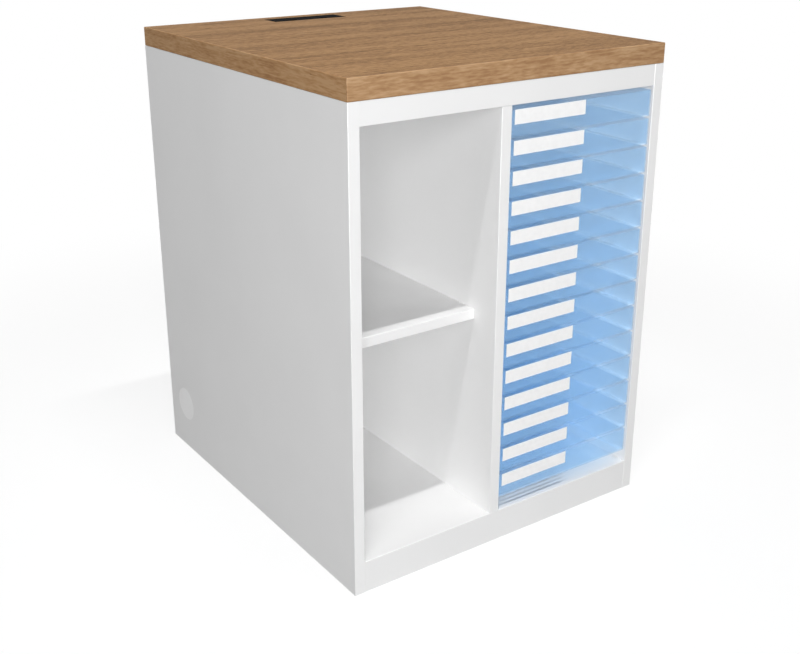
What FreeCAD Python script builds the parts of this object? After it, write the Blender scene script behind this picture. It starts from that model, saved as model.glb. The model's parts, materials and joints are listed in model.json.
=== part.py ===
import FreeCAD, Part
import os

# Tray storage cabinet, in millimetres. X runs across the front, Y from front to rear, Z up.
# The origin is the middle of the footprint, on the floor.

# Overall size
width = 540.0
depth = 600.0
height = 720.0

# Boards
board = 17.0
top_thickness = 29.0
base_height = 49.0
rail_height = 31.0
front_setback = 0.5
niche_width = 223.0
duct_depth = 71.0

# Edge bands
top_band = 2.0
top_band_radius = 1.2
side_band = 1.0
side_band_radius = 0.8

# Shelf in the left bay
shelf_thickness = 15.0
shelf_height = 313.3
shelf_setback = 48.0
shelf_side_gap = 0.5
shelf_rear_gap = 2.0

# Trays
tray_count = 14
tray_setback = 2.0
tray_side_gap = 1.0
tray_lift = 0.3
tray_rim_gap = 1.7
tray_rear_space = 118.0
space_over_trays = 6.0
space_under_strips = 18.7
tray_wall = 1.8
tray_corner_radius = 3.0
tray_floor_radius = 1.5
tray_inner_floor_radius = 1.0

# Label cards on the tray fronts
label_width = 128.0
label_height = 20.0
label_thickness = 0.4
label_side_margin = 5.0
label_rim_margin = 0.6

# Runner strips under the trays
strip_thickness = 1.6
strip_ledge = 8.0
strip_groove = 7.0
strip_setback = 10.0

# Upright rails that stop the trays at the rear
stop_gap = 0.3
stop_width = 10.0
stop_thickness = 12.0

# Shelf pins
pin_radius = 2.5
pin_peg = 9.0
pin_arm = 8.0
pin_arm_width = 8.0
pin_arm_height = 6.0
pin_arm_radius = 2.0
pin_inset = 50.0

# Cams, bolts and dowels
cam_radius = 7.5
cam_depth = 13.0
cam_distance = 34.0
cam_inset = 100.0
cam_edge_gap = 1.0
cam_slot_width = 1.6
cam_slot_depth = 1.5
bolt_radius = 3.0
bolt_bite = 11.0
dowel_radius = 4.0
dowel_bite = 12.0
dowel_length = 30.0
dowel_offset = 32.0
narrow_dowel_offset = 13.0
bore_gap = 0.05

# Tabletop brackets and screws
bracket_leg = 28.0
bracket_width = 25.0
bracket_thickness = 2.0
bracket_hole = 17.0
bracket_inset = 100.0
screw_radius = 2.0
screw_length = 14.0
screw_head_radius = 4.0
screw_head_height = 2.2

# Cable cover in the tabletop
cover_length = 136.0
cover_width = 40.0
cover_rear_edge = 25.0
flange_thickness = 2.0
flange_rim = 4.0
cover_wall = 2.0
cover_sleeve_depth = 24.0
cover_fit = 0.25
lid_thickness = 2.5
lid_gap = 0.3
hinge_radius = 2.0
hinge_pin_radius = 1.1
hinge_pin_length = 1.6
hinge_pin_gap = 0.05
lid_rest = 2.0
notch_width = 14.0
notch_depth = 7.0
notch_spacing = 60.0

# Round caps over the cable holes in the side panels
cap_radius = 28.5
cap_flange = 2.0
cap_hole_radius = 25.0
cap_sleeve_depth = 11.0
cap_wall = 1.5
cap_gap = 0.3
cap_from_rear = 59.0
cap_height = 83.0

# Places worked out from the sizes above
front = -depth / 2
rear = depth / 2
inner_half = width / 2 - board
top_underside = height - top_thickness
rail_bottom = top_underside - rail_height
inset_front = front + front_setback
divider_left = -inner_half + niche_width
divider_right = divider_left + board
rear_panel_front = rear - board
back_rear = rear_panel_front - duct_depth
back_front = back_rear - board
tray_front = front + tray_setback
tray_rear = back_front - tray_rear_space
tray_left = divider_right + tray_side_gap
tray_right = inner_half - tray_side_gap
stack_height = rail_bottom - base_height - space_over_trays - space_under_strips
tray_pitch = (stack_height + tray_rim_gap) / tray_count
tray_height = tray_pitch - strip_thickness - tray_lift - tray_rim_gap
strip_front = front + strip_setback
strip_rear = tray_rear + stop_gap
shelf_bottom = base_height + shelf_height - shelf_thickness
shelf_front = front + shelf_setback
shelf_rear = back_front - shelf_rear_gap
cover_middle = rear - cover_rear_edge - cover_width / 2
cap_middle = rear - cap_from_rear

X_AXIS = FreeCAD.Vector(1, 0, 0)
Y_AXIS = FreeCAD.Vector(0, 1, 0)
Z_AXIS = FreeCAD.Vector(0, 0, 1)
SIDES = (-1, 1)
TOLERANCE = 0.01


def block(x0, y0, z0, x1, y1, z1):
    return Part.makeBox(x1 - x0, y1 - y0, z1 - z0, FreeCAD.Vector(x0, y0, z0))


def rod(start, direction, radius, length):
    return Part.makeCylinder(radius, length, start, direction)


def edges_along(solid, axis, **place):
    # Straight edges of a solid that run along one axis, at the given coordinates
    found = []
    for edge in solid.Edges:
        box = edge.BoundBox
        length = {"x": box.XLength, "y": box.YLength, "z": box.ZLength}
        middle = {"x": box.Center.x, "y": box.Center.y, "z": box.Center.z}
        across = max(length[name] for name in "xyz" if name != axis)
        at_place = all(abs(middle[name] - value) < TOLERANCE for name, value in place.items())
        if length[axis] > TOLERANCE and across < TOLERANCE and at_place:
            found.append(edge)
    return found


def drilled(solid, tools):
    if not tools:
        return solid
    return solid.cut(tools).Solids[0]


# Cams, bolts and dowels. Each board joint lies on the inner face of a side panel.


def board_joints():
    # board name, y, z, outward face of the cam, and where the dowel stands from the bolt
    bottom_z = base_height - board / 2
    back_y = back_front + board / 2
    rear_y = rear_panel_front + board / 2
    front_y = inset_front + board / 2
    joints = []
    for y in (front + cam_inset, 0.0, rear - cam_inset):
        joints.append(("bottom", y, bottom_z, -Z_AXIS, (dowel_offset, 0.0)))
    low = base_height + cam_inset
    high = top_underside - cam_inset
    for z in (low, (low + high) / 2, high):
        joints.append(("back", back_y, z, Y_AXIS, (0.0, dowel_offset)))
        joints.append(("rear", rear_y, z, -Y_AXIS, (0.0, dowel_offset)))
    rail_z = top_underside - rail_height / 2
    joints.append(("rail", front_y, rail_z, Y_AXIS, None))
    plinth_z = base_height - board - cam_radius - cam_edge_gap
    joints.append(("plinth", front_y, plinth_z, Y_AXIS, (0.0, -narrow_dowel_offset)))
    return joints


def cam_bolt(side, y, z, extra=0.0):
    start = FreeCAD.Vector(side * (inner_half + bolt_bite + extra), y, z)
    return rod(start, X_AXIS * -side, bolt_radius + extra, bolt_bite + extra + cam_distance)


def cam_barrel(side, y, z, face, extra=0.0):
    middle = FreeCAD.Vector(side * (inner_half - cam_distance), y, z)
    return rod(middle + face * (board / 2), face * -1, cam_radius + extra, cam_depth + extra)


def cam_lock(side, y, z, face):
    # a drum with a screwdriver slot in its face and a hole for the bolt
    middle = FreeCAD.Vector(side * (inner_half - cam_distance), y, z) + face * (board / 2)
    reach = cam_radius + 1.0
    half = cam_slot_width / 2
    slot = block(-reach, -half, -cam_slot_depth, reach, half, cam_slot_depth)
    slot.Placement = FreeCAD.Placement(middle, FreeCAD.Rotation(Z_AXIS, face))
    drum = cam_barrel(side, y, z, face)
    return drilled(drum, [slot, cam_bolt(side, y, z, bore_gap)])


def side_dowel(side, y, z, extra=0.0):
    start = FreeCAD.Vector(side * (inner_half + dowel_bite + extra), y, z)
    return rod(start, X_AXIS * -side, dowel_radius + extra, dowel_length + 2 * extra)


def upright_dowel(y, extra=0.0):
    # between the bottom board and the divider
    start = FreeCAD.Vector((divider_left + divider_right) / 2, y, base_height - dowel_bite - extra)
    return rod(start, Z_AXIS, dowel_radius + extra, dowel_length + 2 * extra)


def rear_dowel(z, extra=0.0):
    # between the inner back panel and the divider
    start = FreeCAD.Vector((divider_left + divider_right) / 2, back_front + dowel_bite + extra, z)
    return rod(start, Y_AXIS * -1, dowel_radius + extra, dowel_length + 2 * extra)


def spread(low, high, inset):
    return [low + inset, (low + high) / 2, high - inset]


def board_bores():
    # every hole that a fastener needs, by the board that it is cut from
    boards = ("left", "right", "bottom", "back", "rear", "rail", "plinth", "divider")
    bores = {name: [] for name in boards}
    for side, panel in ((-1, "left"), (1, "right")):
        for name, y, z, face, dowel in board_joints():
            bolt = cam_bolt(side, y, z, bore_gap)
            bores[panel].append(bolt)
            bores[name].append(bolt)
            bores[name].append(cam_barrel(side, y, z, face, bore_gap))
            if dowel:
                hole = side_dowel(side, y + dowel[0], z + dowel[1], bore_gap)
                bores[panel].append(hole)
                bores[name].append(hole)
    for y in spread(front, back_front, cam_inset):
        hole = upright_dowel(y, bore_gap)
        bores["bottom"].append(hole)
        bores["divider"].append(hole)
    for z in spread(base_height, top_underside, cam_inset):
        hole = rear_dowel(z, bore_gap)
        bores["back"].append(hole)
        bores["divider"].append(hole)
    return bores


def cam_locks():
    return [cam_lock(side, y, z, face) for side in SIDES for name, y, z, face, dowel in board_joints()]


def cam_bolts():
    return [cam_bolt(side, y, z) for side in SIDES for name, y, z, face, dowel in board_joints()]


def wooden_dowels():
    dowels = []
    for side in SIDES:
        for name, y, z, face, dowel in board_joints():
            if dowel:
                dowels.append(side_dowel(side, y + dowel[0], z + dowel[1]))
    dowels += [upright_dowel(y) for y in spread(front, back_front, cam_inset)]
    dowels += [rear_dowel(z) for z in spread(base_height, top_underside, cam_inset)]
    return dowels


# Brackets under the tabletop, one pair on each side panel


def bracket_places():
    rows = (front + bracket_inset, back_front - bracket_inset)
    return [(side, y) for side in SIDES for y in rows]


def screw(seat, direction, extra=0.0):
    # the shank only, from the face that the head sits on
    return rod(seat, direction, screw_radius + extra, screw_length + extra)


def bracket_screw_seats(side, y):
    # head seats and driving directions: one into the side panel, one into the tabletop
    into_panel = FreeCAD.Vector(side * (inner_half - bracket_thickness), y, top_underside - bracket_hole)
    into_top = FreeCAD.Vector(side * (inner_half - bracket_hole), y, top_underside - bracket_thickness)
    return [(into_panel, X_AXIS * side), (into_top, Z_AXIS)]


def bracket(side, y):
    low, high = y - bracket_width / 2, y + bracket_width / 2
    wall = sorted((side * inner_half, side * (inner_half - bracket_thickness)))
    arm = sorted((side * inner_half, side * (inner_half - bracket_leg)))
    upright = block(wall[0], low, top_underside - bracket_leg, wall[1], high, top_underside)
    flat = block(arm[0], low, top_underside - bracket_thickness, arm[1], high, top_underside)
    angle = upright.fuse(flat).removeSplitter()
    return drilled(angle, [screw(seat, way, bore_gap) for seat, way in bracket_screw_seats(side, y)])


def bracket_screws():
    screws = []
    for side, y in bracket_places():
        for seat, way in bracket_screw_seats(side, y):
            head = rod(seat, way * -1, screw_head_radius, screw_head_height)
            screws.append(head.fuse(screw(seat, way)).removeSplitter())
    return screws


def bracket_bores(side=None):
    # the screw holes of one side panel, or those of the tabletop
    holes = []
    for place_side, y in bracket_places():
        panel_screw, top_screw = bracket_screw_seats(place_side, y)
        if side is None:
            holes.append(screw(*top_screw, bore_gap))
        elif side == place_side:
            holes.append(screw(*panel_screw, bore_gap))
    return holes


# Runner strips and the grooves that hold them


def strip_top(level):
    # level 0 is the lowest tray
    return base_height + space_under_strips + strip_thickness + level * tray_pitch


def strip(face, side, level, ledge):
    # the part in the groove, and as much of the ledge as is asked for
    top = strip_top(level)
    ends = sorted((face + side * strip_groove, face - side * ledge))
    return block(ends[0], strip_front, top - strip_thickness, ends[1], strip_rear, top)


def strips(face, side, ledge=strip_ledge):
    return [strip(face, side, level, ledge) for level in range(tray_count)]


def stop_rail(face, side):
    ends = sorted((face, face - side * stop_width))
    return block(ends[0], strip_rear, base_height, ends[1], strip_rear + stop_thickness, rail_bottom)


# Boards of the carcass


def edge_band(x0, x1, y, z0, z1):
    # a thin band on a front edge, with its two front corners rounded
    band = block(x0, y, z0, x1, y + side_band, z1)
    return band.makeFillet(side_band_radius, edges_along(band, "z", y=y))


def cap_bore(side):
    start = FreeCAD.Vector(side * (inner_half - 1), cap_middle, cap_height)
    seat = FreeCAD.Vector(side * (width / 2 - cap_flange), cap_middle, cap_height)
    hole = rod(start, X_AXIS * side, cap_hole_radius, board + 2)
    rebate = rod(seat, X_AXIS * side, cap_radius + cap_gap, cap_flange + 1)
    return hole.fuse(rebate)


def side_panel(side, tools):
    faces = sorted((side * inner_half, side * width / 2))
    panel = block(faces[0], front + side_band, 0, faces[1], rear, top_underside)
    return drilled(panel, tools + [cap_bore(side)] + bracket_bores(side))


def side_panel_band(side):
    faces = sorted((side * inner_half, side * width / 2))
    return edge_band(faces[0], faces[1], front, 0, top_underside)


def divider_panel(tools):
    # the divider passes behind the rail and stops under it at the front
    start = inset_front + side_band
    panel = block(divider_left, start, base_height, divider_right, back_front, top_underside)
    rail_seat = block(divider_left, start, rail_bottom, divider_right, inset_front + board, top_underside)
    return drilled(panel, tools + [rail_seat])


def divider_band():
    return edge_band(divider_left, divider_right, inset_front, base_height, rail_bottom)


def bottom_panel(tools):
    low = base_height - board
    panel = block(-inner_half, inset_front + board, low, inner_half, rear_panel_front, base_height)
    return drilled(panel, tools)


def plinth_board(tools):
    panel = block(-inner_half, inset_front, 0, inner_half, inset_front + board, base_height)
    panel = panel.makeFillet(side_band_radius, edges_along(panel, "x", y=inset_front, z=base_height))
    return drilled(panel, tools)


def front_rail(tools):
    rail = block(-inner_half, inset_front, rail_bottom, inner_half, inset_front + board, top_underside)
    rail = rail.makeFillet(side_band_radius, edges_along(rail, "x", y=inset_front, z=rail_bottom))
    return drilled(rail, tools)


def inner_back_panel(tools):
    panel = block(-inner_half, back_front, base_height, inner_half, back_rear, top_underside)
    return drilled(panel, tools)


def rear_panel(tools):
    panel = block(-inner_half, rear_panel_front, 0, inner_half, rear, top_underside)
    return drilled(panel, tools)


# Shelf and its pins


def shelf_slice(y0, y1):
    left = -inner_half + shelf_side_gap
    right = divider_left - shelf_side_gap
    return block(left, y0, shelf_bottom, right, y1, shelf_bottom + shelf_thickness)


def shelf_board():
    return shelf_slice(shelf_front + side_band, shelf_rear)


def shelf_band():
    band = shelf_slice(shelf_front, shelf_front + side_band)
    corners = edges_along(band, "x", y=shelf_front) + edges_along(band, "z", y=shelf_front)
    return band.makeFillet(side_band_radius, corners)


def pin_places():
    # wall face, way into the wall, and y
    rows = (shelf_front + pin_inset, shelf_rear - pin_inset)
    return [(face, way, y) for face, way in ((-inner_half, -1), (divider_left, 1)) for y in rows]


def pin_peg_shape(face, way, y, extra=0.0):
    start = FreeCAD.Vector(face, y, shelf_bottom - pin_arm_height / 2)
    return rod(start, X_AXIS * way, pin_radius + extra, pin_peg + extra)


def shelf_pin(face, way, y):
    half = pin_arm_width / 2
    ends = sorted((face, face - way * pin_arm))
    arm = block(ends[0], y - half, shelf_bottom - pin_arm_height, ends[1], y + half, shelf_bottom)
    lower = edges_along(arm, "x", z=shelf_bottom - pin_arm_height)
    arm = arm.makeFillet(pin_arm_radius, lower)
    return arm.fuse(pin_peg_shape(face, way, y)).removeSplitter()


def pin_bores(wall):
    return [pin_peg_shape(face, way, y, bore_gap) for face, way, y in pin_places() if face == wall]


# Tabletop


def tabletop_board():
    half = width / 2 - top_band
    core = block(-half, front + top_band, top_underside, half, rear - top_band, height)
    rebate = cover_box(0, height - flange_thickness, height + 1)
    hole = cover_box(flange_rim - cover_fit, top_underside - 1, height + 1)
    return drilled(core, [rebate, hole] + bracket_bores())


def long_top_band(y0, y1, outer):
    # a front or rear band, as long as the tabletop is wide
    band = block(-width / 2, y0, top_underside, width / 2, y1, height)
    edges = edges_along(band, "x", y=outer) + edges_along(band, "z", y=outer)
    for x in (-width / 2, width / 2):
        edges += edges_along(band, "y", x=x)
    return band.makeFillet(top_band_radius, edges)


def side_top_band(side):
    faces = sorted((side * width / 2, side * (width / 2 - top_band)))
    band = block(faces[0], front + top_band, top_underside, faces[1], rear - top_band, height)
    return band.makeFillet(top_band_radius, edges_along(band, "y", x=side * width / 2))


# Cable cover


def cover_box(shrink, z0, z1):
    half_length = cover_length / 2 - shrink
    half_width = cover_width / 2 - shrink
    return block(-half_length, cover_middle - half_width, z0, half_length, cover_middle + half_width, z1)


def hinge_line():
    window_rear = cover_middle + cover_width / 2 - flange_rim - cover_wall
    return window_rear - lid_gap - hinge_radius, height - hinge_radius


def cable_cover_frame():
    sleeve_bottom = height - cover_sleeve_depth
    opening = flange_rim + cover_wall
    frame = cover_box(0, height - flange_thickness, height).fuse(cover_box(flange_rim, sleeve_bottom, height))
    frame = frame.cut(cover_box(opening, sleeve_bottom - 1, height + 1))
    half_length = cover_length / 2 - opening
    window_front = cover_middle - cover_width / 2 + opening
    rest_rear = window_front + lid_rest
    rest_top = height - lid_thickness
    rest = block(-half_length, window_front, rest_top - lid_rest, half_length, rest_rear, rest_top)
    y, z = hinge_line()
    reach = half_length + lid_gap + hinge_pin_length
    bearing = rod(FreeCAD.Vector(-reach, y, z), X_AXIS, hinge_pin_radius + hinge_pin_gap, 2 * reach)
    return frame.fuse(rest).removeSplitter().cut(bearing).Solids[0]


def cable_cover_lid():
    half_length = cover_length / 2 - flange_rim - cover_wall - lid_gap
    window_front = cover_middle - cover_width / 2 + flange_rim + cover_wall
    y, z = hinge_line()
    plate = block(-half_length, window_front + lid_gap, height - lid_thickness, half_length, y, height)
    knuckle = rod(FreeCAD.Vector(-half_length, y, z), X_AXIS, hinge_radius, 2 * half_length)
    pin_reach = half_length + lid_gap + hinge_pin_length
    pin = rod(FreeCAD.Vector(-pin_reach, y, z), X_AXIS, hinge_pin_radius, 2 * pin_reach)
    notches = []
    for x in (-notch_spacing / 2, notch_spacing / 2):
        notches.append(block(x - notch_width / 2, window_front, height - lid_thickness - 1,
                             x + notch_width / 2, window_front + notch_depth, height + 1))
    return plate.cut(notches).fuse([knuckle, pin]).removeSplitter().Solids[0]


def hole_cap(side):
    outer = FreeCAD.Vector(side * width / 2, cap_middle, cap_height)
    inward = X_AXIS * -side
    sleeve_radius = cap_hole_radius - cap_gap
    flange = rod(outer, inward, cap_radius, cap_flange)
    sleeve = rod(outer, inward, sleeve_radius, cap_flange + cap_sleeve_depth)
    hollow = rod(outer + inward * cap_flange, inward, sleeve_radius - cap_wall, cap_sleeve_depth + 1)
    return flange.fuse(sleeve).cut(hollow).removeSplitter().Solids[0]


# Trays and labels


def tray_body(level):
    bottom = strip_top(level) + tray_lift
    outer = block(tray_left, tray_front, bottom, tray_right, tray_rear, bottom + tray_height)
    outer = outer.makeFillet(tray_corner_radius, edges_along(outer, "z"))
    outer = outer.makeFillet(tray_floor_radius, lower_edges(outer, bottom))
    floor = bottom + tray_wall
    inner = block(tray_left + tray_wall, tray_front + tray_wall, floor,
                  tray_right - tray_wall, tray_rear - tray_wall, bottom + tray_height + 1)
    inner = inner.makeFillet(tray_corner_radius - tray_wall, edges_along(inner, "z"))
    inner = inner.makeFillet(tray_inner_floor_radius, lower_edges(inner, floor))
    return outer.cut(inner).Solids[0]


def lower_edges(solid, level):
    return [edge for edge in solid.Edges if abs(edge.BoundBox.ZMax - level) < TOLERANCE]


def label(level):
    rim = strip_top(level) + tray_lift + tray_height
    left = tray_left + label_side_margin
    top = rim - label_rim_margin
    return block(left, tray_front - label_thickness, top - label_height, left + label_width, tray_front, top)


def write(node, *solids):
    shape = solids[0] if len(solids) == 1 else Part.makeCompound(list(solids))
    shape.exportStep("parts/" + node + ".step")


def build():
    os.makedirs("parts", exist_ok=True)
    bores = board_bores()
    left_grooves = strips(divider_right, -1, ledge=0)
    right_grooves = strips(inner_half, 1, ledge=0)
    write("left_side_panel", side_panel(-1, bores["left"] + pin_bores(-inner_half)))
    write("right_side_panel", side_panel(1, bores["right"] + right_grooves))
    write("left_side_edge_band", side_panel_band(-1))
    write("right_side_edge_band", side_panel_band(1))
    write("divider_panel", divider_panel(bores["divider"] + pin_bores(divider_left) + left_grooves))
    write("divider_edge_band", divider_band())
    write("bottom_panel", bottom_panel(bores["bottom"]))
    write("plinth_board", plinth_board(bores["plinth"]))
    write("front_rail", front_rail(bores["rail"]))
    write("inner_back_panel", inner_back_panel(bores["back"]))
    write("rear_panel", rear_panel(bores["rear"]))
    write("shelf_board", shelf_board())
    write("shelf_edge_band", shelf_band())
    write("shelf_pins", *[shelf_pin(*place) for place in pin_places()])
    write("tabletop_board", tabletop_board())
    write("tabletop_front_band", long_top_band(front, front + top_band, front))
    write("tabletop_rear_band", long_top_band(rear - top_band, rear, rear))
    write("tabletop_side_bands", side_top_band(-1), side_top_band(1))
    write("cable_cover_frame", cable_cover_frame())
    write("cable_cover_lid", cable_cover_lid())
    write("left_hole_cap", hole_cap(-1))
    write("right_hole_cap", hole_cap(1))
    write("left_runner_strips", *strips(divider_right, -1))
    write("right_runner_strips", *strips(inner_half, 1))
    write("tray_stop_rails", stop_rail(divider_right, -1), stop_rail(inner_half, 1))
    write("cam_locks", *cam_locks())
    write("cam_bolts", *cam_bolts())
    write("wooden_dowels", *wooden_dowels())
    write("tabletop_brackets", *[bracket(*place) for place in bracket_places()])
    write("bracket_screws", *bracket_screws())
    for number in range(1, tray_count + 1):
        level = tray_count - number
        write("tray_%02d" % number, tray_body(level))
        write("tray_label_%02d" % number, label(level))


build()
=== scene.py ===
import json
import math

import bmesh
import bpy
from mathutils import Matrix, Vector


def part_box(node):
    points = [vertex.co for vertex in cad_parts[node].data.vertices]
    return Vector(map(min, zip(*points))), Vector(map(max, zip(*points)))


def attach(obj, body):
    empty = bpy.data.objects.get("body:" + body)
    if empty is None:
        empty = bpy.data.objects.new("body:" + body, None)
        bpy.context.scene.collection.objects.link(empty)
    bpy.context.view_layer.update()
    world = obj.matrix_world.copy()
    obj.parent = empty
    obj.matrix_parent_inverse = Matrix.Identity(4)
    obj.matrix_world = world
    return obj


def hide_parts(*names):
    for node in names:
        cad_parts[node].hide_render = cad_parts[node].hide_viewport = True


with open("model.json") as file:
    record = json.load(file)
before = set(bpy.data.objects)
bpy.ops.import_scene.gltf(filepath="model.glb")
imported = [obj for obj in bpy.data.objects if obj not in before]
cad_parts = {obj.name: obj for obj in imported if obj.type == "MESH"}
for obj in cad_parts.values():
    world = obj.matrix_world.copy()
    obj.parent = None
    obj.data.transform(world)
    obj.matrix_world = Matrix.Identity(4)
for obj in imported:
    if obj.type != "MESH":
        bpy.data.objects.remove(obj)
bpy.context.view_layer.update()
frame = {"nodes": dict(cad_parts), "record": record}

# Tray storage cabinet: the looks around the CAD frame. Metres, Z up, the front towards -Y.
nodes = frame["nodes"]
mm = 0.001
print("frame in place:", len(nodes), "nodes")


def linear(hexColour):
    # sRGB hex to the linear values that a shader takes
    channels = [int(hexColour[i:i + 2], 16) / 255 for i in (1, 3, 5)]
    values = [c / 12.92 if c <= 0.04045 else ((c + 0.055) / 1.055) ** 2.4 for c in channels]
    return (*values, 1.0)


def perMetre(size):
    # noise scale for a pattern whose features are this many millimetres across
    return 1 / (size * mm)


def addNode(tree, kind, inputs=None, stops=None, **settings):
    # one shader node: an input is a plain value or another node's output, and a ramp has its stops
    node = tree.nodes.new("ShaderNode" + kind)
    for name, value in settings.items():
        setattr(node, name, value)
    for name, value in (inputs or {}).items():
        if isinstance(value, bpy.types.NodeSocket):
            tree.links.new(value, node.inputs[name])
        else:
            node.inputs[name].default_value = value
    if stops:
        ramp = node.color_ramp.elements
        while len(ramp) < len(stops):
            ramp.new(0.5)
        for element, (position, colour) in zip(ramp, stops):
            element.position = position
            element.color = colour
    return node


def newMaterial(name):
    material = bpy.data.materials.new(name)
    material.use_nodes = True
    material.node_tree.nodes.clear()
    return material, material.node_tree


noiseSpan = (0.3, 0.7)  # most values of a noise pattern lie between these


def greyStops(low, high, span=noiseSpan):
    # ramp stops for a plain number, such as roughness, between two values
    return [(span[0], (low, low, low, 1)), (span[1], (high, high, high, 1))]


def colourStops(low, high, span=noiseSpan):
    return [(span[0], linear(low)), (span[1], linear(high))]


# In these looks a cloud is a broad drift of the colour, and a speck is a fine grain.
# Their sizes are in millimetres.

# Melamine-faced particle board: white paper pressed hot against a fine plate.
# The eye gets a plain white with a faint pearly speck, a soft sheen and no reflections with edges.
melamine = {
    "paper": "#ececec", "cloud": "#e9e9e9", "cloudSize": 150,
    "speckSize": 1.6,  # the real speck is about 0.4 mm, drawn coarser so that it shows
    "speckDepth": 0.010, "roughness": (0.42, 0.52), "ior": 1.5, "specular": 0.5,
}

# White ABS edge band: extruded, glued on and scraped flush. It is a little glossier and whiter than a board.
whiteBand = {
    "paper": "#ededed", "cloud": "#eaeaea", "cloudSize": 60, "speckSize": 1.2,
    "speckDepth": 0.006, "roughness": (0.30, 0.38), "ior": 1.54, "specular": 0.5,
}

# White polypropylene caps: injection moulded. The fine skin of a spark-eroded mould softens their sheen.
whitePolypropylene = {
    "paper": "#f9f9f9", "cloud": "#f6f6f6", "cloudSize": 30, "speckSize": 0.9,
    "speckDepth": 0.012, "roughness": (0.38, 0.48), "ior": 1.49, "specular": 0.5,
}

# White PVC runner strips: extruded, with the same soft white.
whitePvc = {**whitePolypropylene, "ior": 1.53}

# Black ABS: moulded against a spark-eroded face. It is matt, with a fine grain that breaks up the light.
blackAbs = {
    "paper": "#121212", "cloud": "#0e0e0f", "cloudSize": 20, "speckSize": 0.8,
    "speckDepth": 0.03, "roughness": (0.66, 0.78), "ior": 1.54, "specular": 0.008,
}

# White card: uncoated, cut from a sheet. It is dull, with faint fibres.
labelCard = {
    "paper": "#f8f8f8", "cloud": "#f3f3f3", "cloudSize": 9, "speckSize": 0.7,
    "speckDepth": 0.02, "roughness": (0.78, 0.90), "ior": 1.5, "specular": 0.5,
}


def plainSurface(name, look):
    material, tree = newMaterial(name)
    place = addNode(tree, "TexCoord").outputs["Object"]
    cloud = addNode(tree, "TexNoise", {"Vector": place, "Scale": perMetre(look["cloudSize"]), "Detail": 3.0})
    speck = addNode(tree, "TexNoise", {"Vector": place, "Scale": perMetre(look["speckSize"]), "Detail": 2.0})
    colour = addNode(tree, "ValToRGB", {"Fac": cloud.outputs["Fac"]},
                     colourStops(look["cloud"], look["paper"]))
    rough = addNode(tree, "ValToRGB", {"Fac": speck.outputs["Fac"]}, greyStops(*look["roughness"]))
    bump = addNode(tree, "Bump", {
        "Height": speck.outputs["Fac"], "Strength": 1.0, "Distance": look["speckDepth"] * mm})
    shader = addNode(tree, "BsdfPrincipled", {
        "Base Color": colour.outputs["Color"], "Roughness": rough.outputs["Color"],
        "Normal": bump.outputs["Normal"], "IOR": look["ior"], "Specular IOR Level": look["specular"]})
    addNode(tree, "OutputMaterial", {"Surface": shader.outputs["BSDF"]})
    return material


# Wood-grain laminate: a decor paper, printed as a mid-brown hardwood, under melamine with a fine texture.
# The eye gets fine short fibres, long straight streaks across the cabinet's width, and broad soft bands.
# A layer of the grain has its share, its size across and along the grain in millimetres, and its detail.
woodTop = {
    "dark": "#7a5936", "middle": "#9c754b", "light": "#ad8558", "pore": "#654625",
    "fibre": (0.42, 1.8, 10, 3.0), "streak": (0.28, 3.0, 60, 4.0), "band": (0.30, 42, 700, 3.0),
    "spread": 0.07,  # how far the sum of the layers goes either side of a half, from dark to light
    "waverSize": 160, "waverShift": 6, "grain": "x",
    "pores": (1.5, 30, 1.0), "poreSpan": (0.64, 0.72), "poreDepth": 0.03,
    "roughness": (0.70, 0.58), "ior": 1.5, "specular": 0.15,
}

# Wood-grain ABS band on the front and rear edges: the same print, lighter and with a blotchy figure.
woodFrontBand = {
    **woodTop,
    "dark": "#997452", "middle": "#ab8762", "light": "#b99773", "pore": "#826344",
    "fibre": (0.42, 2.8, 15, 3.0), "streak": (0.28, 3.2, 60, 3.0), "band": (0.30, 18, 80, 2.0),
    "spread": 0.105, "pores": (1.2, 12, 1.0), "poreSpan": (0.74, 0.82),
}

# The same band on the side edges, where the print runs from front to rear and is a little browner.
woodSideBand = {
    **woodFrontBand,
    "dark": "#966f4b", "middle": "#a9825a", "light": "#b6926b", "pore": "#815f3f",
    "fibre": (0.42, 2.4, 16, 3.0), "streak": (0.33, 3.2, 120, 3.0), "grain": "y",
}

# The top's underside: a pale grey backing paper, so that no brown light falls into the bays.
topBacking = {"paper": "#dcdcdc", "thick": 0.5}


def grainNoise(tree, place, across, along, detail, grain):
    # noise drawn out along the grain
    scale = (across / along, 1, 1) if grain == "x" else (1, across / along, 1)
    drawn = addNode(tree, "VectorMath", {0: place, 1: scale}, operation="MULTIPLY")
    noise = addNode(tree, "TexNoise", {
        "Vector": drawn.outputs[0], "Scale": perMetre(across), "Detail": detail})
    return noise.outputs["Fac"]


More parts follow.
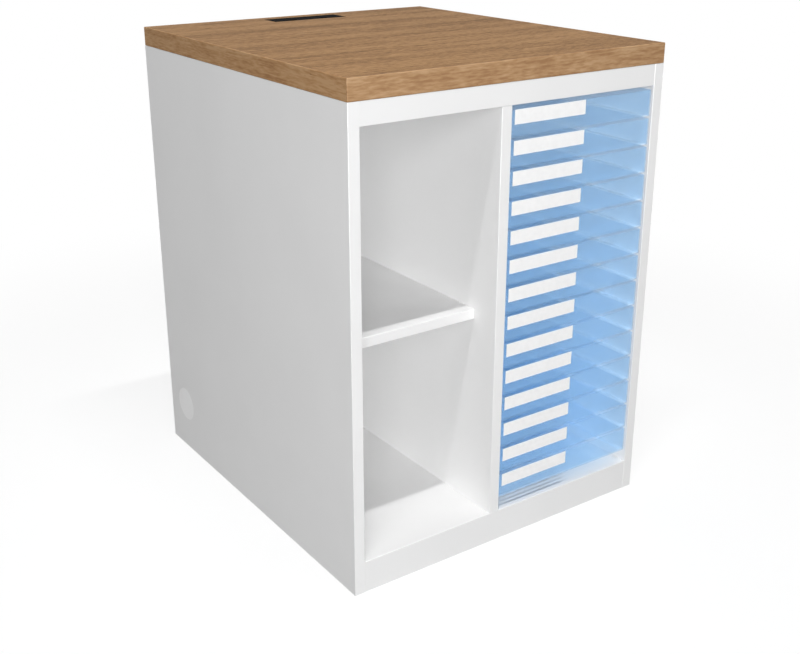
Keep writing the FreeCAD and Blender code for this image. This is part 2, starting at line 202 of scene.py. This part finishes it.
def woodSurface(name, look, backing=None):
    material, tree = newMaterial(name)
    place = addNode(tree, "TexCoord").outputs["Object"]
    waver = addNode(tree, "TexNoise", {"Vector": place, "Scale": perMetre(look["waverSize"]), "Detail": 1.0})
    shift = look["waverShift"] * mm
    shifted = addNode(tree, "VectorMath", {
        0: waver.outputs["Color"], 1: (shift, shift, shift)}, operation="MULTIPLY")
    bent = addNode(tree, "VectorMath", {0: place, 1: shifted.outputs[0]}, operation="ADD").outputs[0]

    layers = [(share, grainNoise(tree, bent, across, along, detail, look["grain"]))
              for share, across, along, detail in (look["fibre"], look["streak"], look["band"])]
    total = 0.0
    for share, noise in layers:
        total = addNode(tree, "Math", {0: noise, 1: share, 2: total}, operation="MULTIPLY_ADD").outputs[0]
    tone = addNode(tree, "ValToRGB", {"Fac": total}, [
        (0.5 - look["spread"], linear(look["dark"])), (0.5, linear(look["middle"])),
        (0.5 + look["spread"], linear(look["light"]))])

    # a Mix node for colours has its share at input 0, the colours at 6 and 7, and the result at output 2
    dashes = grainNoise(tree, bent, *look["pores"], look["grain"])
    pores = addNode(tree, "ValToRGB", {"Fac": dashes}, greyStops(0.0, 1.0, look["poreSpan"]))
    poreShare = pores.outputs["Color"]
    colour = addNode(tree, "Mix", {0: poreShare, 6: tone.outputs["Color"], 7: linear(look["pore"])},
                     data_type="RGBA")
    if backing:
        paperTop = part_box("tabletop_board")[0].z + backing["thick"] * mm
        rise = addNode(tree, "SeparateXYZ", {0: place}).outputs["Z"]
        under = addNode(tree, "Math", {0: rise, 1: paperTop}, operation="LESS_THAN").outputs[0]
        colour = addNode(tree, "Mix", {0: under, 6: colour.outputs[2], 7: linear(backing["paper"])},
                         data_type="RGBA")

    rough = addNode(tree, "ValToRGB", {"Fac": total}, greyStops(*look["roughness"]))
    fibres = layers[0][1]
    height = addNode(tree, "Math", {0: fibres, 1: poreShare}, operation="SUBTRACT")
    bump = addNode(tree, "Bump", {
        "Height": height.outputs[0], "Strength": 1.0, "Distance": look["poreDepth"] * mm})
    shader = addNode(tree, "BsdfPrincipled", {
        "Base Color": colour.outputs[2], "Roughness": rough.outputs["Color"],
        "Normal": bump.outputs["Normal"], "IOR": look["ior"], "Specular IOR Level": look["specular"]})
    addNode(tree, "OutputMaterial", {"Surface": shader.outputs["BSDF"]})
    return material


# Clear blue polystyrene: injection moulded against polished steel.
# The eye sees through each wall, and the blue deepens where walls lie behind each other.
blueStyrene = {
    "haze": "#9dd2ff", "flow": "#95cefd", "flowSize": 45, "flowSpan": (0.35, 0.65), "tint": "#f8fcff",
    "hazeShare": 0.17, "ior": 1.59, "roughness": (0.10, 0.18),
    "skin": 0.06, "mirrorShare": 0.5, "slantPower": 5.0,
}


def clearSurface(name, look):
    material, tree = newMaterial(name)
    place = addNode(tree, "TexCoord").outputs["Object"]
    flow = addNode(tree, "TexNoise", {"Vector": place, "Scale": perMetre(look["flowSize"]), "Detail": 2.0})
    colour = addNode(tree, "ValToRGB", {"Fac": flow.outputs["Fac"]},
                     colourStops(look["flow"], look["haze"], look["flowSpan"]))
    rough = addNode(tree, "ValToRGB", {"Fac": flow.outputs["Fac"]}, greyStops(*look["roughness"]))
    haze = addNode(tree, "BsdfPrincipled", {
        "Base Color": colour.outputs["Color"], "Roughness": rough.outputs["Color"], "IOR": look["ior"]})
    through = addNode(tree, "BsdfTransparent", {"Color": linear(look["tint"])}).outputs[0]
    body = addNode(tree, "MixShader", {0: look["hazeShare"], 1: through, 2: haze.outputs[0]})
    gloss = addNode(tree, "BsdfAnisotropic", {"Color": (1, 1, 1, 1), "Roughness": look["skin"]})

    # what a clear surface mirrors, head on and at a slant, shared between the two faces of each wall
    straight = ((look["ior"] - 1) / (look["ior"] + 1)) ** 2
    slant = addNode(tree, "LayerWeight", {"Blend": 0.5}).outputs["Facing"]
    steep = addNode(tree, "Math", {0: slant, 1: look["slantPower"]}, operation="POWER").outputs[0]
    mirrored = addNode(tree, "Math", {
        0: steep, 1: look["mirrorShare"] * (1 - straight), 2: look["mirrorShare"] * straight},
        operation="MULTIPLY_ADD")
    wall = addNode(tree, "MixShader", {0: mirrored.outputs[0], 1: body.outputs[0], 2: gloss.outputs[0]})

    # lamps and bounced light pass the wall with its tint alone, so that the bay behind is lit
    path = addNode(tree, "LightPath").outputs
    lighting = addNode(tree, "Math", {
        0: path["Is Shadow Ray"], 1: path["Is Diffuse Ray"]}, operation="MAXIMUM")
    seen = addNode(tree, "MixShader", {0: lighting.outputs[0], 1: wall.outputs[0], 2: through})
    addNode(tree, "OutputMaterial", {"Surface": seen.outputs[0]})
    return material


# Zinc-plated steel: pressed or turned, then plated. It is a pale grey metal with soft, cloudy reflections.
zincSteel = {
    "colour": "#c9cac8", "cloud": "#b9babb", "cloudSize": 6, "roughness": (0.28, 0.45), "metallic": 1.0,
}

# Bare beech: turned dowels. It is pale and dull, with a fine even fleck.
beech = {
    "colour": "#d8b78b", "cloud": "#c7a273", "cloudSize": 2, "roughness": (0.55, 0.70), "metallic": 0.0,
}


def cloudySurface(name, look):
    material, tree = newMaterial(name)
    place = addNode(tree, "TexCoord").outputs["Object"]
    cloud = addNode(tree, "TexNoise", {"Vector": place, "Scale": perMetre(look["cloudSize"]), "Detail": 4.0})
    colour = addNode(tree, "ValToRGB", {"Fac": cloud.outputs["Fac"]},
                     colourStops(look["cloud"], look["colour"]))
    rough = addNode(tree, "ValToRGB", {"Fac": cloud.outputs["Fac"]}, greyStops(*look["roughness"]))
    shader = addNode(tree, "BsdfPrincipled", {
        "Base Color": colour.outputs["Color"], "Roughness": rough.outputs["Color"],
        "Metallic": look["metallic"]})
    addNode(tree, "OutputMaterial", {"Surface": shader.outputs["BSDF"]})
    return material


# One finish for each material slot of the record
finishes = {
    "white_board": plainSurface("melamineBoard", melamine),
    "white_edge_band": plainSurface("absEdgeBand", whiteBand),
    "white_plastic": plainSurface("extrudedPvc", whitePvc),
    "grey_plastic": plainSurface("mouldedPolypropylene", whitePolypropylene),
    "black_plastic": plainSurface("sparkErodedBlackAbs", blackAbs),
    "label_card": plainSurface("uncoatedCard", labelCard),
    "wood_grain_top": woodSurface("woodGrainLaminate", woodTop, topBacking),
    "wood_grain_edge_band": woodSurface("woodGrainFrontBand", woodFrontBand),
    "blue_tray_plastic": clearSurface("clearBluePolystyrene", blueStyrene),
    "zinc_plated_steel": cloudySurface("zincPlatedSteel", zincSteel),
    "dowel_wood": cloudySurface("turnedBeech", beech),
}

for part in frame["record"]["subparts"]:
    for slot in nodes[part["node"]].material_slots:
        slot.material = finishes[part["material_slot"]]
nodes["tabletop_side_bands"].material_slots[0].material = woodSurface("woodGrainSideBand", woodSideBand)
print("finishes on the nodes")

# Boards and bands have edges eased by hand, so that each joint between them shows as a fine line,
# and moulded pieces have the smaller radius of their mould. Widths and the weld are in millimetres.
easedEdges = {
    "steps": 3, "sharperThan": 40, "weld": 0.01,
    "boardWidth": 0.8,
    "boards": ("front_rail", "plinth_board", "left_side_edge_band", "right_side_edge_band",
               "divider_edge_band", "shelf_edge_band"),
    "mouldedWidth": 0.4,
    "moulded": ("left_hole_cap", "right_hole_cap", "cable_cover_frame", "cable_cover_lid"),
}


def easeEdges(piece, width):
    joined = piece.modifiers.new("joinedFaces", "WELD")
    joined.merge_threshold = easedEdges["weld"] * mm
    eased = piece.modifiers.new("easedEdges", "BEVEL")
    eased.width = width * mm
    eased.segments = easedEdges["steps"]
    eased.limit_method = "ANGLE"
    eased.angle_limit = math.radians(easedEdges["sharperThan"])
    eased.harden_normals = True


for name in easedEdges["boards"]:
    easeEdges(nodes[name], easedEdges["boardWidth"])
for name in easedEdges["moulded"]:
    easeEdges(nodes[name], easedEdges["mouldedWidth"])
print("edges eased")


def roundedOutline(low, high, inset, radius, z, steps):
    # points of a rounded rectangle, set in from the outer faces, counter-clockwise from above
    x0, y0 = low.x + inset, low.y + inset
    x1, y1 = high.x - inset, high.y - inset
    corners = ((x1 - radius, y0 + radius, -90), (x1 - radius, y1 - radius, 0),
               (x0 + radius, y1 - radius, 90), (x0 + radius, y0 + radius, 180))
    points = []
    for x, y, start in corners:
        for step in range(steps + 1):
            angle = math.radians(start + 90 * step / steps)
            points.append(Vector((x + radius * math.cos(angle), y + radius * math.sin(angle), z)))
    return points


def skinned(name, loops):
    # a closed mesh through loops of points, with a flat face over the first and the last
    mesh = bmesh.new()
    rings = [[mesh.verts.new(point) for point in loop] for loop in loops]
    for lower, upper in zip(rings, rings[1:]):
        for i in range(len(lower)):
            j = (i + 1) % len(lower)
            mesh.faces.new((lower[i], lower[j], upper[j], upper[i]))
    mesh.faces.new(list(reversed(rings[0])))
    mesh.faces.new(rings[-1])
    bmesh.ops.recalc_face_normals(mesh, faces=mesh.faces)
    data = bpy.data.meshes.new(name)
    mesh.to_mesh(data)
    mesh.free()
    data.shade_smooth()
    piece = bpy.data.objects.new(name, data)
    bpy.context.scene.collection.objects.link(piece)
    return piece


# The trays, moulded with round corners, a radius under the floor and a rounded rim, in millimetres
trayShape = {
    "count": 14, "wall": 1.8, "corner": 3.0, "underFloor": 1.5, "innerFloor": 1.0, "rim": 0.6,
    "leastRadius": 0.25, "cornerSteps": 6, "filletSteps": 4, "flatWeight": 100,
}


def trayProfile(low, high):
    # inset and height along the wall, from the underside over the rim to the floor inside
    wall, under, inner, rim = (trayShape[key] * mm for key in ("wall", "underFloor", "innerFloor", "rim"))
    steps = trayShape["filletSteps"]
    turns = [math.radians(90 * step / steps) for step in range(steps + 1)]
    floor = low.z + wall
    profile = [(under * (1 - math.sin(a)), low.z + under * (1 - math.cos(a))) for a in turns]
    profile += [(rim * (1 - math.cos(a)), high.z - rim * (1 - math.sin(a))) for a in turns]
    profile += [(wall - rim * (1 - math.sin(a)), high.z - rim * (1 - math.cos(a))) for a in turns]
    profile += [(wall + inner * (1 - math.cos(a)), floor + inner * (1 - math.sin(a))) for a in turns]
    return profile


def makeTray(number):
    node = f"tray_{number:02d}"
    low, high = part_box(node)
    corner, least = trayShape["corner"] * mm, trayShape["leastRadius"] * mm
    loops = [roundedOutline(low, high, inset, max(corner - inset, least), z, trayShape["cornerSteps"])
             for inset, z in trayProfile(low, high)]
    tray = skinned(f"trayShell{number:02d}", loops)
    flat = tray.modifiers.new("flatFaces", "WEIGHTED_NORMAL")
    flat.weight = trayShape["flatWeight"]
    tray.data.materials.append(finishes["blue_tray_plastic"])
    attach(tray, f"tray_{number:02d}_body")
    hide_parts(node)


for number in range(1, trayShape["count"] + 1):
    makeTray(number)
print("trays moulded")

# Stage: a pale floor that keeps the shadow and runs out into white. Its drop and speck are in millimetres.
# It is shown light and lights the cabinet as a grey paint does, so that the base isn't lit from below.
floorLook = {
    "paint": "#8c8c8c", "shown": "#efefef", "roughness": (0.75, 0.85), "speck": 4,
    "width": 14, "drop": 0.3, "leastWhite": 0.65, "fadeFrom": 0.6, "fadeTo": 1.6,
}


def showsWhite(tree):
    # 1 for the rays that show a surface to the eye, directly, mirrored or through glass
    path = addNode(tree, "LightPath").outputs
    seen = addNode(tree, "Math", {0: path["Is Camera Ray"], 1: path["Is Glossy Ray"]}, operation="MAXIMUM")
    shown = addNode(tree, "Math", {0: seen.outputs[0], 1: path["Is Transmission Ray"]}, operation="MAXIMUM")
    return shown.outputs[0]


def makeFloor():
    half = floorLook["width"] / 2
    data = bpy.data.meshes.new("floor")
    corners = [(-half, -half, 0), (half, -half, 0), (half, half, 0), (-half, half, 0)]
    data.from_pydata(corners, [], [(0, 1, 2, 3)])
    floor = bpy.data.objects.new("floor", data)
    bpy.context.scene.collection.objects.link(floor)
    floor.location.z = -floorLook["drop"] * mm

    material, tree = newMaterial("paintedStudioFloor")
    place = addNode(tree, "TexCoord").outputs["Object"]
    speck = addNode(tree, "TexNoise", {
        "Vector": place, "Scale": perMetre(floorLook["speck"]), "Detail": 2.0})
    rough = addNode(tree, "ValToRGB", {"Fac": speck.outputs["Fac"]}, greyStops(*floorLook["roughness"]))
    shown = showsWhite(tree)
    colour = addNode(tree, "Mix", {0: shown, 6: linear(floorLook["paint"]), 7: linear(floorLook["shown"])},
                     data_type="RGBA")
    paint = addNode(tree, "BsdfDiffuse", {"Color": colour.outputs[2], "Roughness": rough.outputs["Color"]})
    white = addNode(tree, "Emission", {"Color": (1, 1, 1, 1), "Strength": 1.0})
    away = addNode(tree, "VectorMath", {0: place}, operation="LENGTH")
    fade = addNode(tree, "MapRange", {
        "Value": away.outputs["Value"], "From Min": floorLook["fadeFrom"], "From Max": floorLook["fadeTo"],
        "To Min": floorLook["leastWhite"]}, interpolation_type="SMOOTHSTEP")
    share = addNode(tree, "Math", {0: fade.outputs[0], 1: shown}, operation="MULTIPLY")
    mixed = addNode(tree, "MixShader", {0: share.outputs[0], 1: paint.outputs[0], 2: white.outputs[0]})
    addNode(tree, "OutputMaterial", {"Surface": mixed.outputs[0]})
    data.materials.append(material)


# Lamps, with places, aims and sizes in metres and powers in watts
lamps = [
    # a long strip high above the front: the rail's edge cuts it off, so it lights only the front of each bay
    {"name": "stripLamp", "power": 140, "size": (3.0, 0.12), "place": (-0.6, -1.235, 5.0),
     "aim": (-0.6, -0.3, 0.66)},
    # three soft boxes around the way that the camera looks
    {"name": "lowSoftBox", "power": 26, "size": (1.7, 1.7), "place": (-2.45, -4.1, 0.95),
     "aim": (0.0, 0.0, 0.4)},
    {"name": "nearSoftBox", "power": 19, "size": (1.2, 1.2), "place": (-1.78, -2.57, 1.465),
     "aim": (0.0, 0.0, 0.4)},
    {"name": "farSoftBox", "power": 48, "size": (1.6, 1.6), "place": (-3.0, -4.3, 2.1),
     "aim": (0.0, 0.0, 0.4)},
    # a soft fill that only the inner back panel stops: it reaches all of the open bays, but not the duct
    {"name": "fillLamp", "power": 102, "size": (1.7, 1.7), "place": (-2.54, -3.89, 1.55),
     "aim": (0.0, 0.0, 0.4), "stoppedBy": "inner_back_panel"},
    # two lamps below the top's height light the rear and the right side and add no sheen to the top
    {"name": "rearFill", "power": 88, "size": (0.7, 0.7), "place": (0.5, 5.2, 0.36),
     "aim": (0.0, 0.0, 0.36)},
    {"name": "rightFill", "power": 140, "size": (0.7, 0.7), "place": (4.6, 2.6, 0.36),
     "aim": (0.0, 0.0, 0.36)},
]


def makeLamp(lamp):
    soft = bpy.data.lights.new(lamp["name"], "AREA")
    soft.shape = "RECTANGLE"
    soft.size, soft.size_y = lamp["size"]
    soft.energy = lamp["power"]
    stand = bpy.data.objects.new(lamp["name"], soft)
    stand.location = lamp["place"]
    aim = Vector(lamp["aim"]) - Vector(lamp["place"])
    stand.rotation_euler = aim.to_track_quat("-Z", "Y").to_euler()
    if "stoppedBy" in lamp:
        stops = bpy.data.collections.new(lamp["name"] + "Stops")
        stops.objects.link(nodes[lamp["stoppedBy"]])
        stand.light_linking.blocker_collection = stops
    bpy.context.scene.collection.objects.link(stand)


def makeSurround():
    # the world shows white to the eye and lights nothing
    world = bpy.data.worlds.new("studio")
    bpy.context.scene.world = world
    world.use_nodes = True
    tree = world.node_tree
    tree.nodes.clear()
    dark = addNode(tree, "Background", {"Color": (1, 1, 1, 1), "Strength": 0.0})
    white = addNode(tree, "Background", {"Color": (1, 1, 1, 1), "Strength": 1.0})
    mixed = addNode(tree, "MixShader", {0: showsWhite(tree), 1: dark.outputs[0], 2: white.outputs[0]})
    addNode(tree, "OutputWorld", {"Surface": mixed.outputs[0]})


makeFloor()
makeSurround()
for lamp in lamps:
    makeLamp(lamp)
print("floor and lamps set")

# The photograph's own view, worked out from the cabinet's edges
view = {
    "place": (-0.9761, -1.4196, 0.9378), "way": (0.53627, 0.76760, -0.35100),
    "lens": 50.44, "sensor": 36.0, "nearest": 0.02, "furthest": 60,
    "pixelsDown": 27, "pixelsWide": 800,  # how far the frame's middle lies below the camera's axis
    "clearFaces": 40,  # a look through the stacked trays passes that many
}
camera = bpy.data.cameras.new("camera")
camera.lens = view["lens"]
camera.sensor_width = view["sensor"]
camera.shift_y = -view["pixelsDown"] / view["pixelsWide"]
camera.clip_start = view["nearest"]
camera.clip_end = view["furthest"]
stand = bpy.data.objects.new("camera", camera)
stand.location = view["place"]
stand.rotation_euler = Vector(view["way"]).to_track_quat("-Z", "Y").to_euler()
bpy.context.scene.collection.objects.link(stand)
bpy.context.scene.camera = stand
bpy.context.scene.view_settings.view_transform = "Standard"
bpy.context.scene.cycles.transparent_max_bounces = view["clearFaces"]
print("camera set")
